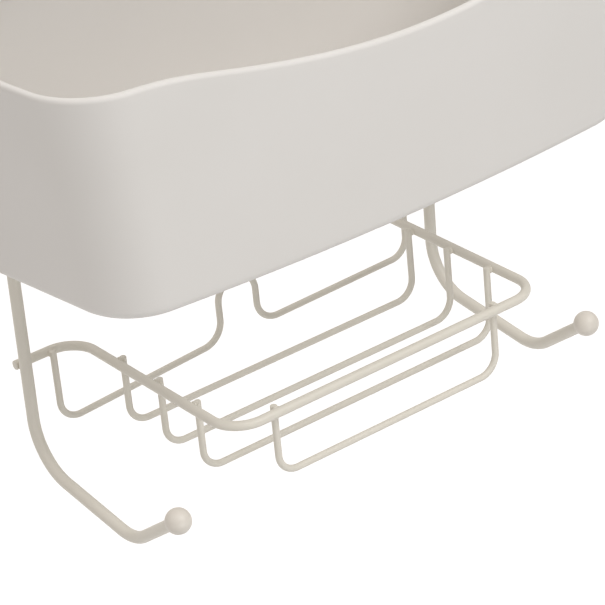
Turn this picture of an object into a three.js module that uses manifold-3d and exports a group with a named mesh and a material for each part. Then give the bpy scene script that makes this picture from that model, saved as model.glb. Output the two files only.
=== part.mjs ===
// Hanging shower caddy: a welded frame of coated steel rod with two ball-tipped hooks, a wire soap
// basket between the uprights, and a moulded bin that hangs on a bar behind it.
// Millimetres. +X to the right, +Y towards the wall, +Z up. The origin is the hang point: the
// underside of the sleeve at the top of the loop, where it rests on a shower arm.

import * as THREE from 'three';
import { mergeVertices } from 'three/addons/utils/BufferGeometryUtils.js';
import Module from 'manifold-3d';

const wasm = await Module();
wasm.setup();

// Rods and wires, coating included
const frameRodDia = 6.2;
const rimWireDia = 4.9;
const soapWireDia = 3.5;
const barDia = 4.9;
const weldGap = 0.3;

// Frame, downwards from the hang point
const uprightSpacing = 255;
const shoulderDrop = 50;
const shoulderBend = 30;
const shoulderJoint = 52;
const neckWidth = 38;
const neckBend = 14;
const sleeveWall = 1.6;
const sleeveClearance = 0.3;
const sleeveArcDeg = 150;
const binHeadroom = 85.4;
const basketGap = 83.2;

// Hooks
const hookDrop = 52.8;
const hookBend = 26.6;
const hookRun = 81.1;
const hookFallDeg = 6;
const hookTipBend = 28;
const hookTipRiseDeg = 37.1;
const hookReach = 120.7;
const ballDia = 12.9;
const ballBoreDepth = 7.5;
const ballClearance = 0.3;

// Soap basket, sizes in its own plane, which rises slightly towards the front
const basketTiltDeg = 1.25;
const rimInset = 33.1;
const rimDepth = 129.8;
const rimBend = 16;
const rimEndOverhang = 3.1;
const soapWireFirst = 34.4;
const soapWirePitch = 30.6;
const soapWireCount = 3;
const soapWireDepth = 36.4;
const soapWireBend = 10.4;
const wireTipRise = 2;
const frontWireInset = 26.8;
const backWireDepth = 32.5;
const backWireLeftSlantDeg = 3.5;
const backWireRightSlantDeg = 1.2;
const backWireLegOffset = 0.4;
const humpWidth = 23.5;
const humpBend = 12;
const humpTopDrop = 0.5;

// Bin, outer sizes; the walls lean out from the bottom to the rim, which thickens into a lip
const binHeight = 116.4;
const binBackClearance = 0.4;
const binBottomHalfWidth = 168.8;
const binRimHalfWidth = 189.8;
const binBottomDepth = 137.5;
const binRimDepth = 150;
const binBottomCorner = 32;
const binRimCorner = 37.4;
const binBackCorner = 20;
const binSideTaperDeg = 7.7;
const binFrontRadius = 1356;
const binWall = 2.4;
const binFloor = 2.8;
const binBottomEdge = 5;
const binFloorEdge = 3;
const rimLip = 4.6;
const rimLipDrop = 10;
const rimDip = 18.5;
const rimDipCentre = 11.5;
const rimDipHalfWidth = 134.6;
const rimDipEase = 3.8;

// Drain holes in the bin's floor
const drainDia = 7;
const drainPitchX = 44;
const drainPitchY = 46;
const drainColumns = 6;
const drainRows = 2;

// Hooks moulded on the bin's back, over the bar
const barBelowRim = 24;
const binHookOffset = 76;
const binHookWidth = 24;
const binHookThickness = 3;
const binHookLip = 7;
const binHookClearance = 0.4;
const binHookSeatGap = 0.3;
const binHookRoot = 1.2;

// Facets
const rodSides = 12;
const wireSides = 10;
const bendStepDeg = 15;
const ballSides = 20;
const holeSides = 12;
const backCornerSteps = 5;
const frontCornerSteps = 8;
const frontSteps = 20;
const bottomEdgeSteps = 3;

// Heights and places that follow from the sizes above
const uprightX = uprightSpacing / 2;
const neckX = neckWidth / 2;
const loopTopZ = frameRodDia / 2 + sleeveClearance + sleeveWall;
const shoulderZ = -shoulderDrop;
const binRimZ = shoulderZ - binHeadroom;
const binBottomZ = binRimZ - binHeight;
const basketZ = binBottomZ - basketGap;
const hookZ = basketZ - hookDrop;
const barZ = binRimZ - barBelowRim;
const binBackY = -(frameRodDia / 2 + binBackClearance);
const rimBackY = (frameRodDia + rimWireDia) / 2 + weldGap;
const rimX = uprightX - rimInset;
const weldOffset = (rimWireDia + soapWireDia) / 2 + weldGap;

const coatedSteel = new THREE.MeshStandardMaterial({ color: 0xcfc8ba, roughness: 0.5, metalness: 0 });
const mouldedPlastic = new THREE.MeshStandardMaterial({ color: 0xd5d2cb, roughness: 0.6, metalness: 0 });
const silicone = new THREE.MeshStandardMaterial({ color: 0xbfb8ab, roughness: 0.8, metalness: 0 });

const caddy = new THREE.Group();

function addMesh(parent, name, geometry, material) {
  const mesh = new THREE.Mesh(geometry, material);
  mesh.name = name;
  parent.add(mesh);
  return mesh;
}

function toSolid(geometry) {
  const bare = geometry.clone();
  bare.deleteAttribute('normal');
  bare.deleteAttribute('uv');
  const merged = mergeVertices(bare, 1e-4);
  const vertProperties = new Float32Array(merged.attributes.position.array);
  const triVerts = new Uint32Array(merged.index.array);
  return new wasm.Manifold(new wasm.Mesh({ numProp: 3, vertProperties, triVerts }));
}

function toGeometry(solid) {
  const mesh = solid.getMesh();
  const geometry = new THREE.BufferGeometry();
  geometry.setAttribute('position', new THREE.BufferAttribute(new Float32Array(mesh.vertProperties), 3));
  geometry.setIndex(new THREE.BufferAttribute(new Uint32Array(mesh.triVerts), 1));
  geometry.computeVertexNormals();
  return geometry;
}

// A wire's centre line, kept as the points where its section is set
class WirePath extends THREE.Curve {
  constructor(points) {
    super();
    this.points = points;
  }

  getUtoTmapping(u) {
    return u;
  }

  getPoint(t) {
    const place = t * (this.points.length - 1);
    const i = Math.min(Math.floor(place + 1e-9), this.points.length - 2);
    return this.points[i].clone().lerp(this.points[i + 1], place - i);
  }

  getTangent(t) {
    const last = this.points.length - 1;
    const i = Math.round(t * last);
    const before = this.points[Math.max(i, 1)].clone().sub(this.points[Math.max(i, 1) - 1]).normalize();
    const j = Math.min(i, last - 1);
    const after = this.points[j + 1].clone().sub(this.points[j]).normalize();
    return before.add(after).normalize();
  }
}

// Rounds each inner corner [x, y, z, bend radius] of a bent wire with an arc
function bentPath(corners) {
  const points = [];
  const push = (p) => {
    if (points.length === 0 || points[points.length - 1].distanceTo(p) > 1e-3) points.push(p);
  };
  corners.forEach(([x, y, z, bend], i) => {
    const corner = new THREE.Vector3(x, y, z);
    if (i === 0 || i === corners.length - 1) {
      push(corner);
      return;
    }
    const arriving = corner.clone().sub(new THREE.Vector3(...corners[i - 1])).normalize();
    const leaving = new THREE.Vector3(...corners[i + 1]).sub(corner).normalize();
    const turn = arriving.angleTo(leaving);
    const start = corner.clone().addScaledVector(arriving, -bend * Math.tan(turn / 2));
    const inward = leaving.clone().addScaledVector(arriving, -leaving.dot(arriving)).normalize();
    const steps = Math.ceil(turn / THREE.MathUtils.degToRad(bendStepDeg));
    for (let k = 0; k <= steps; k += 1) {
      const angle = (turn * k) / steps;
      const p = start.clone().addScaledVector(arriving, bend * Math.sin(angle));
      push(p.addScaledVector(inward, bend * (1 - Math.cos(angle))));
    }
  });
  return new WirePath(points);
}

function roundSection(radius, sides) {
  const section = new THREE.Shape();
  for (let k = 0; k < sides; k += 1) {
    const angle = (2 * Math.PI * (k + 0.5)) / sides;
    const x = radius * Math.cos(angle);
    const y = radius * Math.sin(angle);
    if (k === 0) section.moveTo(x, y);
    else section.lineTo(x, y);
  }
  section.closePath();
  return section;
}

function sweep(section, path) {
  return new THREE.ExtrudeGeometry(section, { steps: path.points.length - 1, extrudePath: path });
}

function wire(corners, diameter, sides) {
  return sweep(roundSection(diameter / 2, sides), bentPath(corners));
}

// Uprights: from the butt weld with the loop, out to the shoulder, down behind the bin, and forward
// into the hook, which falls a little and then rises to its ball
const hookFall = Math.tan(THREE.MathUtils.degToRad(hookFallDeg));
const hookTipRise = THREE.MathUtils.degToRad(hookTipRiseDeg);
const hookLowZ = hookZ - hookRun * hookFall;
const ballZ = hookLowZ + (hookReach - hookRun) * Math.tan(hookTipRise);
const rodEndBack = ballDia / 2 - ballBoreDepth + ballClearance;
const rodEndY = -hookReach + rodEndBack * Math.cos(hookTipRise);
const rodEndZ = ballZ - rodEndBack * Math.sin(hookTipRise);

function ballWithBore() {
  const ball = toSolid(new THREE.SphereGeometry(ballDia / 2, ballSides, ballSides / 2));
  const boreRadius = frameRodDia / 2 + ballClearance;
  const boreLength = ballBoreDepth + ballDia / 2;
  const bore = new THREE.CylinderGeometry(boreRadius, boreRadius, boreLength, holeSides);
  bore.translate(0, ballBoreDepth - ballDia / 2 - boreLength / 2, 0);
  return toGeometry(ball.subtract(toSolid(bore)));
}

for (const [name, side] of [['left', -1], ['right', 1]]) {
  const corners = [
    [side * (shoulderJoint + weldGap / 2), 0, shoulderZ],
    [side * uprightX, 0, shoulderZ, shoulderBend],
    [side * uprightX, 0, hookZ, hookBend],
    [side * uprightX, -hookRun, hookLowZ, hookTipBend],
    [side * uprightX, rodEndY, rodEndZ],
  ];
  addMesh(caddy, `${name}_upright`, wire(corners, frameRodDia, rodSides), coatedSteel);
  const ball = addMesh(caddy, `hook_ball_${name}`, ballWithBore(), coatedSteel);
  ball.position.set(side * uprightX, -hookReach, ballZ);
  ball.rotation.x = Math.PI - hookTipRise;
}

// Loop over the shower arm, butt-welded to the uprights' shoulders
const loopCorners = [
  [-(shoulderJoint - weldGap / 2), 0, shoulderZ],
  [-neckX, 0, shoulderZ, neckBend],
  [-neckX, 0, loopTopZ, neckX],
  [neckX, 0, loopTopZ, neckX],
  [neckX, 0, shoulderZ, neckBend],
  [shoulderJoint - weldGap / 2, 0, shoulderZ],
];
addMesh(caddy, 'hanger_loop', wire(loopCorners, frameRodDia, rodSides), coatedSteel);

// Soft sleeve round the top of the loop
const sleeveHalfArc = THREE.MathUtils.degToRad(sleeveArcDeg / 2);
const sleevePoints = [];
const sleeveSteps = Math.ceil(sleeveArcDeg / bendStepDeg);
for (let k = 0; k <= sleeveSteps; k += 1) {
  const angle = Math.PI / 2 + sleeveHalfArc * (1 - (2 * k) / sleeveSteps);
  const z = loopTopZ - neckX * (1 - Math.sin(angle));
  sleevePoints.push(new THREE.Vector3(neckX * Math.cos(angle), 0, z));
}
const sleeveBore = frameRodDia / 2 + sleeveClearance;
const sleeveSection = roundSection(sleeveBore + sleeveWall, rodSides);
sleeveSection.holes.push(roundSection(sleeveBore, rodSides));
addMesh(caddy, 'hanger_sleeve', sweep(sleeveSection, new WirePath(sleevePoints)), silicone);

// Bar behind the bin, butt-welded between the uprights
const barLength = uprightSpacing - frameRodDia - 2 * weldGap;
const barRod = new THREE.CylinderGeometry(barDia / 2, barDia / 2, barLength, rodSides);
const bar = addMesh(caddy, 'bin_bar', barRod, coatedSteel);
bar.rotation.z = Math.PI / 2;
bar.position.z = barZ;

// Soap basket, hung on the weld line behind the uprights
const basket = new THREE.Group();
basket.position.set(0, rimBackY, basketZ);
basket.rotation.x = -THREE.MathUtils.degToRad(basketTiltDeg);
caddy.add(basket);

const rimEndX = uprightX + rimEndOverhang;
const rimCorners = [
  [-rimEndX, 0, 0],
  [-rimX, 0, 0, rimBend],
  [-rimX, -rimDepth, 0, rimBend],
  [rimX, -rimDepth, 0, rimBend],
  [rimX, 0, 0, rimBend],
  [rimEndX, 0, 0],
];
addMesh(basket, 'basket_rim', wire(rimCorners, rimWireDia, rodSides), coatedSteel);

// A U-shaped wire across the basket, its two tips level with the top of the rim
function crossWire(name, halfWidth, y) {
  const corners = [
    [-halfWidth, y, wireTipRise],
    [-halfWidth, y, -soapWireDepth, soapWireBend],
    [halfWidth, y, -soapWireDepth, soapWireBend],
    [halfWidth, y, wireTipRise],
  ];
  addMesh(basket, name, wire(corners, soapWireDia, wireSides), coatedSteel);
}

for (let k = 0; k < soapWireCount; k += 1) {
  crossWire(`soap_wire_${k + 1}`, rimX - weldOffset, -(soapWireFirst + k * soapWirePitch));
}
crossWire('front_soap_wire', rimX - frontWireInset, -(rimDepth - weldOffset));

// Back wire: two runs joined by a narrow raised loop in the middle. Away from the loop, the left run
// falls and the right run rises a little.
const backLegX = rimX + rimBend + backWireLegOffset;
const humpX = humpWidth / 2;
function onRun(x, bend) {
  const slant = x < 0 ? backWireLeftSlantDeg : backWireRightSlantDeg;
  const rise = (x - Math.sign(x) * humpX) * Math.tan(THREE.MathUtils.degToRad(slant));
  return [x, -weldOffset, rise - backWireDepth, bend];
}
const backCorners = [
  [-backLegX, -weldOffset, wireTipRise],
  onRun(-backLegX, soapWireBend),
  onRun(-humpX, humpBend),
  [-humpX, -weldOffset, -humpTopDrop, humpX],
  [humpX, -weldOffset, -humpTopDrop, humpX],
  onRun(humpX, humpBend),
  onRun(backLegX, soapWireBend),
  [backLegX, -weldOffset, wireTipRise],
];
addMesh(basket, 'back_soap_wire', wire(backCorners, soapWireDia, wireSides), coatedSteel);

// Half of the bin's plan outline, from the back corner round the left side to the front's middle.
// A straight side meets the bowed front in a corner arc that touches both.
function halfOutline(halfWidth, depth, corner, inset) {
  const taper = THREE.MathUtils.degToRad(binSideTaperDeg);
  const inward = new THREE.Vector2(Math.cos(taper), Math.sin(taper));
  const forward = new THREE.Vector2(Math.sin(taper), -Math.cos(taper));
  const sideAngle = Math.PI + taper;
  const sideStart = new THREE.Vector2(-halfWidth, binBackY).addScaledVector(inward, inset);
  const points = [];
  const addArc = (centre, radius, from, to, steps, first) => {
    for (let k = first; k <= steps; k += 1) {
      const angle = from + ((to - from) * k) / steps;
      points.push(new THREE.Vector2(radius * Math.cos(angle), radius * Math.sin(angle)).add(centre));
    }
  };

  const backRadius = binBackCorner - inset;
  const backCentre = sideStart.clone().addScaledVector(inward, backRadius);
  const toBackCentre = (binBackY - binBackCorner - backCentre.y) / forward.y;
  backCentre.addScaledVector(forward, toBackCentre);
  addArc(backCentre, backRadius, Math.PI / 2, sideAngle, backCornerSteps, 0);

  const cornerRadius = corner - inset;
  const bowRadius = binFrontRadius - inset;
  const bowCentre = new THREE.Vector2(0, binBackY - depth + binFrontRadius);
  const offset = sideStart.clone().addScaledVector(inward, cornerRadius).sub(bowCentre);
  const alongSide = offset.dot(forward);
  const reach = bowRadius - cornerRadius;
  const toCorner = Math.sqrt(alongSide ** 2 - offset.lengthSq() + reach ** 2) - alongSide;
  const cornerCentre = offset.addScaledVector(forward, toCorner).add(bowCentre);
  const bowAngle = cornerCentre.clone().sub(bowCentre).angle();
  addArc(cornerCentre, cornerRadius, sideAngle, bowAngle, frontCornerSteps, 0);
  addArc(bowCentre, bowRadius, bowAngle, 1.5 * Math.PI, frontSteps / 2, 1);
  return points;
}

// The whole outline, anticlockwise seen from above
function outline(halfWidth, depth, corner, inset) {
  const left = halfOutline(halfWidth, depth, corner, inset);
  const right = left.slice(0, -1).map((p) => new THREE.Vector2(-p.x, p.y));
  return left.concat(right.reverse());
}

// The front rim dips in one wide hollow, eased into the level rim at both its ends; sides and back
// stay level
function rimHeight(p) {
  const isFront = p.y < binBackY - binRimDepth / 2;
  const share = Math.min(Math.abs(p.x - rimDipCentre) / rimDipHalfWidth, 2);
  const hollow = rimDip * Math.cos((Math.PI / 2) * share);
  const eased = Math.max(hollow + rimDipEase, 0) ** 2 / (4 * rimDipEase);
  return isFront ? binRimZ - (hollow > rimDipEase ? hollow : eased) : binRimZ;
}

// A ring of points on the bin's wall, moved in by inset, at a height or along the rim
function binRing(inset, height) {
  const bottom = outline(binBottomHalfWidth, binBottomDepth, binBottomCorner, inset);
  const rim = outline(binRimHalfWidth, binRimDepth, binRimCorner, inset);
  return rim.map((p, i) => {
    const z = height(p);
    const place = bottom[i].clone().lerp(p, (z - binBottomZ) / binHeight);
    return new THREE.Vector3(place.x, place.y, z);
  });
}

// Joins rings into a closed shell, from the middle of the first ring to the middle of the last
function loft(rings) {
  const count = rings[0].length;
  const positions = [];
  const index = [];
  for (const ring of rings) {
    for (const p of ring) positions.push(p.x, p.y, p.z);
  }
  for (let r = 0; r + 1 < rings.length; r += 1) {
    for (let i = 0; i < count; i += 1) {
      const next = (i + 1) % count;
      const low = r * count;
      const high = low + count;
      index.push(low + i, low + next, high + next, low + i, high + next, high + i);
    }
  }
  const addCap = (ring, start, isFirst) => {
    const middle = ring.reduce((sum, p) => sum.add(p), new THREE.Vector3()).divideScalar(count);
    const centre = positions.length / 3;
    positions.push(middle.x, middle.y, middle.z);
    for (let i = 0; i < count; i += 1) {
      const next = (i + 1) % count;
      index.push(centre, start + (isFirst ? next : i), start + (isFirst ? i : next));
    }
  };
  addCap(rings[0], 0, true);
  addCap(rings[rings.length - 1], (rings.length - 1) * count, false);
  const geometry = new THREE.BufferGeometry();
  geometry.setAttribute('position', new THREE.Float32BufferAttribute(positions, 3));
  geometry.setIndex(index);
  return geometry;
}

function binShell() {
  const floorZ = binBottomZ + binFloor;
  const rings = [];
  for (let k = 0; k <= bottomEdgeSteps; k += 1) {
    const angle = (Math.PI / 2) * (k / bottomEdgeSteps);
    const z = binBottomZ + binBottomEdge * (1 - Math.cos(angle));
    rings.push(binRing(binBottomEdge * (1 - Math.sin(angle)), () => z));
  }
  rings.push(binRing(0, rimHeight));
  rings.push(binRing(rimLip, rimHeight));
  rings.push(binRing(binWall, (p) => rimHeight(p) - rimLipDrop));
  rings.push(binRing(binWall, () => floorZ + binFloorEdge));
  rings.push(binRing(binWall + binFloorEdge, () => floorZ));
  return toSolid(loft(rings));
}

// A hook on the bin's back: a plate over the bar and a lip behind it
function binHook(x) {
  const rootY = binBackY - binHookRoot;
  const lipY = barDia / 2 + binHookClearance;
  const seatZ = barZ + barDia / 2 + binHookSeatGap;
  const lipZ = barZ - binHookLip;
  const profile = new THREE.Shape();
  profile.moveTo(rootY, seatZ);
  profile.lineTo(lipY, seatZ);
  profile.lineTo(lipY, lipZ);
  profile.lineTo(lipY + binHookThickness, lipZ);
  profile.lineTo(lipY + binHookThickness, seatZ + binHookThickness);
  profile.lineTo(rootY, seatZ + binHookThickness);
  profile.closePath();
  const hook = new THREE.ExtrudeGeometry(profile, { depth: binHookWidth, bevelEnabled: false });
  const yzx = [new THREE.Vector3(0, 1, 0), new THREE.Vector3(0, 0, 1), new THREE.Vector3(1, 0, 0)];
  hook.applyMatrix4(new THREE.Matrix4().makeBasis(...yzx));
  hook.translate(x - binHookWidth / 2, 0, 0);
  return toSolid(hook);
}

function drainHole(x, y) {
  const hole = new THREE.CylinderGeometry(drainDia / 2, drainDia / 2, 3 * binFloor, holeSides);
  hole.rotateX(Math.PI / 2);
  hole.translate(x, y, binBottomZ + binFloor / 2);
  return toSolid(hole);
}

let bin = binShell();
for (const side of [-1, 1]) {
  bin = bin.add(binHook(side * binHookOffset));
}
for (let column = 0; column < drainColumns; column += 1) {
  for (let row = 0; row < drainRows; row += 1) {
    const x = (column - (drainColumns - 1) / 2) * drainPitchX;
    const y = binBackY - binBottomDepth / 2 + (row - (drainRows - 1) / 2) * drainPitchY;
    bin = bin.subtract(drainHole(x, y));
  }
}
addMesh(caddy, 'bin', toGeometry(bin), mouldedPlastic);

export default caddy;
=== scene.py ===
"""Dresses the hanging shower caddy: coated rods and wires, welds, ball tips, sleeve and moulded bin."""
from math import atan2, cos, hypot, pi, radians, sin, sqrt, tan

import bmesh
import bpy
from bpy.props import FloatProperty, FloatVectorProperty, IntProperty, PointerProperty
from mathutils import Matrix, Vector


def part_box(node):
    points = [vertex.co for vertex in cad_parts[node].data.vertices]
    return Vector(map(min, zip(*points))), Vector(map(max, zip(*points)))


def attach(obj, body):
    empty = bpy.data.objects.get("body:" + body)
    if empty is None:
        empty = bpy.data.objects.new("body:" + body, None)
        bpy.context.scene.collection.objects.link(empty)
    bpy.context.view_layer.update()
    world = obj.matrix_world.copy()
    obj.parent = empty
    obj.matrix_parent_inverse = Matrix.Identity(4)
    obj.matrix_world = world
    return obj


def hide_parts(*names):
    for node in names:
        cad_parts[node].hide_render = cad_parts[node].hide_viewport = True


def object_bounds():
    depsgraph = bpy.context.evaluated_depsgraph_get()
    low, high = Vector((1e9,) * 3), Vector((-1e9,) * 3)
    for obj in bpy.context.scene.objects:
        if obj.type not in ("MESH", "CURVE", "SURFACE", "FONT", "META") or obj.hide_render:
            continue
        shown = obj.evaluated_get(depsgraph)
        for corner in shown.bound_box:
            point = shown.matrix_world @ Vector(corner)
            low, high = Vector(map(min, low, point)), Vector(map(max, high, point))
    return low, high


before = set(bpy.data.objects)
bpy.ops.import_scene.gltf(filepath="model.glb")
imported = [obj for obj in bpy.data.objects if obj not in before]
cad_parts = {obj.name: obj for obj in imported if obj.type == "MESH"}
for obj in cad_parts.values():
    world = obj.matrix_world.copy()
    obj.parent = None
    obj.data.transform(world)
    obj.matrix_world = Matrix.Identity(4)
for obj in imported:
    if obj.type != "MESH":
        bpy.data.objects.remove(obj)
CAD_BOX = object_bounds()

bl_info = {
    "name": "Hanging Shower Caddy",
    "version": (1, 0, 0),
    "blender": (4, 5, 0),
    "location": "View3D > Sidebar > Caddy",
    "description": "Builds the coated wire frame and the moulded bin of a hanging shower caddy",
    "category": "Object",
}

# A CAD rod has twelve flat sides, so its box falls a little short of its round radius
CAD_ROD_REACH = cos(pi / 12)
# Welded pieces lie this far apart in the frame, and the weld fills the gap
WELD_GAP = 0.0003
# Two bends that make a half circle stay a little under its radius, so that they do not overlap
HALF_CIRCLE_BEND = 0.999
# Welds on the thick rods are this many times longer
LONG_WELD = 1.3
# How finely round things are divided
ROD_SIDES = 28
BEND_STEPS = 18
BALL_SIDES = 48
SLEEVE_SIDES = 32
WELD_SEGMENTS = 20
DRAIN_SIDES = 32


def linear(hex_colour):
    """Turns an sRGB hex colour into linear red, green and blue."""
    channels = [int(hex_colour[i:i + 2], 16) / 255 for i in (1, 3, 5)]
    return [c / 12.92 if c <= 0.04045 else ((c + 0.055) / 1.055) ** 2.4 for c in channels]


def length(name, description, default):
    """A size in metres."""
    return FloatProperty(name=name, description=description, default=default, unit="LENGTH", precision=5)


def angle(name, description, degrees):
    """An angle, given in degrees."""
    return FloatProperty(name=name, description=description, default=radians(degrees), subtype="ANGLE")


def count(name, description, default):
    """A whole number of one or more."""
    return IntProperty(name=name, description=description, default=default, min=1)


def colour(name, description, hex_colour):
    """A colour, given as sRGB hex."""
    default = linear(hex_colour)
    return FloatVectorProperty(name=name, description=description, default=default, subtype="COLOR")


def panel_light(name, level):
    """Brightness of one side of the white tent, for red, green and blue."""
    return FloatVectorProperty(name=name, description="Brightness of this side of the tent", default=level)


class CaddyWireSizes(bpy.types.PropertyGroup):
    """Sizes of the rods and wires, over their coating"""

    rod: length("Rod", "Diameter of the uprights and the hanger loop", 0.0062)
    rim: length("Rim wire", "Diameter of the basket's rim", 0.0049)
    soap: length("Soap wire", "Diameter of the basket's cross wires", 0.0035)
    bar: length("Bar", "Diameter of the bar that carries the bin", 0.0049)
    shoulder_bend: length("Shoulder bend", "Bend radius at an upright's top", 0.030)
    neck_width: length("Neck width", "Between the loop's two legs, on their centre lines", 0.038)
    neck_bend: length("Neck bend", "Bend radius at the foot of the loop", 0.014)
    hook_bend: length("Hook bend", "Bend radius where an upright turns forward", 0.0266)
    hook_run: length("Hook run", "From the upright to the corner where the tip rises", 0.0811)
    hook_fall: angle("Hook fall", "Slope of the hook's run", 6)
    tip_rise: angle("Tip rise", "Slope of the hook's tip", 37.1)
    tip_bend: length("Tip bend", "Bend radius at the hook's tip", 0.028)
    rim_bend: length("Rim bend", "Bend radius of the basket's rim", 0.016)
    soap_bend: length("Soap wire bend", "Bend radius of the cross wires", 0.0104)
    soap_depth: length("Soap wire depth", "Cross wires' bottom below the rim", 0.0364)
    back_depth: length("Back wire depth", "Foot of the back wire's raised loop below the rim", 0.0325)
    back_left_slant: angle("Back wire left slant", "Fall of its left run away from the loop", 3.5)
    back_right_slant: angle("Back wire right slant", "Rise of its right run away from the loop", 1.2)
    hump_width: length("Raised loop width", "Of the loop in the middle of the back wire", 0.0235)
    hump_bend: length("Raised loop bend", "Bend radius at the foot of that loop", 0.012)
    hump_drop: length("Raised loop drop", "That loop's top below the rim", 0.0005)
    tip_dome: length("Wire tip dome", "Height of the rounded end of a cross wire", 0.0007)
    rim_dome: length("Rim end dome", "Height of the rounded end of the rim", 0.0006)
    butt_dome: length("Butt end dome", "Height of the rounded end inside a weld", 0.0001)


class CaddyTrimSizes(bpy.types.PropertyGroup):
    """Sizes of the ball tips, the sleeve and the welds"""

    ball: length("Ball", "Diameter of a hook's ball tip", 0.0129)
    ball_collar: length("Ball collar", "How far the collar stands out from the rod", 0.0007)
    ball_bore: length("Ball bore", "Depth of the bore that takes the rod", 0.0075)
    ball_play: length("Ball play", "Between the bore and the rod", 0.00003)
    sleeve_arc: angle("Sleeve arc", "How far the sleeve goes round the loop's top", 150)
    sleeve_wall: length("Sleeve wall", "Thickness of the soft sleeve", 0.0016)
    sleeve_clearance: length("Sleeve clearance", "Between sleeve and rod", 0.0003)
    weld_reach: length("Weld reach", "How far a cross weld reaches along its wires", 0.0021)
    weld_depth: length("Weld depth", "Half thickness of a cross weld", 0.0011)
    weld_ring: length("Weld ring", "How far a butt weld stands out from its rod", 0.0003)


class CaddyBinSizes(bpy.types.PropertyGroup):
    """Outer sizes of the moulded bin"""

    bottom_half_width: length("Bottom half width", "At the back of the bottom", 0.1688)
    rim_half_width: length("Rim half width", "At the back of the rim", 0.1898)
    bottom_depth: length("Bottom depth", "From back to front at the bottom", 0.1375)
    rim_depth: length("Rim depth", "From back to front at the rim", 0.150)
    bottom_corner: length("Bottom corner", "Front corner radius at the bottom", 0.032)
    rim_corner: length("Rim corner", "Front corner radius at the rim", 0.0374)
    back_corner: length("Back corner", "Back corner radius", 0.020)
    side_taper: angle("Side taper", "How far the sides close towards the front", 7.7)
    front_radius: length("Front bow", "Radius of the bowed front", 1.356)
    back_clearance: length("Back clearance", "Between the bin's back and the uprights", 0.0004)
    wall: length("Wall", "Wall thickness", 0.0024)
    lip: length("Rim lip", "Thickness of the rounded rim", 0.0046)
    lip_drop: length("Rim lip drop", "Height over which the rim thickens", 0.010)
    floor: length("Floor", "Floor thickness", 0.0028)
    bottom_edge: length("Bottom edge", "Radius of the outer edge round the bottom", 0.005)
    floor_edge: length("Floor edge", "Radius of the inner edge round the floor", 0.003)
    dip: length("Rim dip", "How far the front rim dips at its lowest", 0.0185)
    dip_centre: length("Rim dip centre", "How far right of the middle the dip is lowest", 0.0115)
    dip_half_width: length("Rim dip half width", "From the lowest point to the dip's end", 0.1346)
    dip_ease: length("Rim dip ease", "Height over which the dip runs out into the level rim", 0.0038)
    drain: length("Drain hole", "Diameter of a drain hole", 0.007)
    drain_flare: length("Drain flare", "Width of the slope round a drain hole", 0.0007)
    drain_pitch_x: length("Drain pitch across", "Between holes from left to right", 0.044)
    drain_pitch_y: length("Drain pitch deep", "Between holes from front to back", 0.046)
    drain_columns: count("Drain columns", "Holes from left to right", 6)
    drain_rows: count("Drain rows", "Holes from front to back", 2)
    hook_offset: length("Hook offset", "From the middle to each moulded hook", 0.076)
    hook_width: length("Hook width", "Width of a moulded hook", 0.024)
    hook_thickness: length("Hook thickness", "Thickness of a moulded hook", 0.003)
    hook_lip: length("Hook lip", "How far a hook's lip reaches below the bar's middle", 0.007)
    hook_clearance: length("Hook clearance", "Between a hook's lip and the bar", 0.0004)
    hook_edge: length("Hook edge", "Radius of a hook's edges", 0.0006)


class CaddyFinish(bpy.types.PropertyGroup):
    """Colours of the materials"""

    coat: colour("Powder coat", "Coating of the rods and wires", "#E4DFD4")
    coat_thin: colour("Thin coat", "Where the coating is thinner", "#DED9CC")
    bin: colour("Bin", "Moulded bin", "#E5E2DE")
    bin_flow: colour("Bin flow", "Slow variation where the plastic flowed", "#E1DED9")
    ball: colour("Ball tip", "Moulded ball tips", "#E3DDD3")
    ball_shade: colour("Ball shade", "Slow variation in the ball tips", "#DED7CC")
    sleeve: colour("Sleeve", "Soft sleeve", "#BFB8AB")
    sleeve_shade: colour("Sleeve shade", "Slow variation in the sleeve", "#B5AE9F")
    floor: colour("Floor", "Studio floor", "#FFFFFF")


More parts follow.
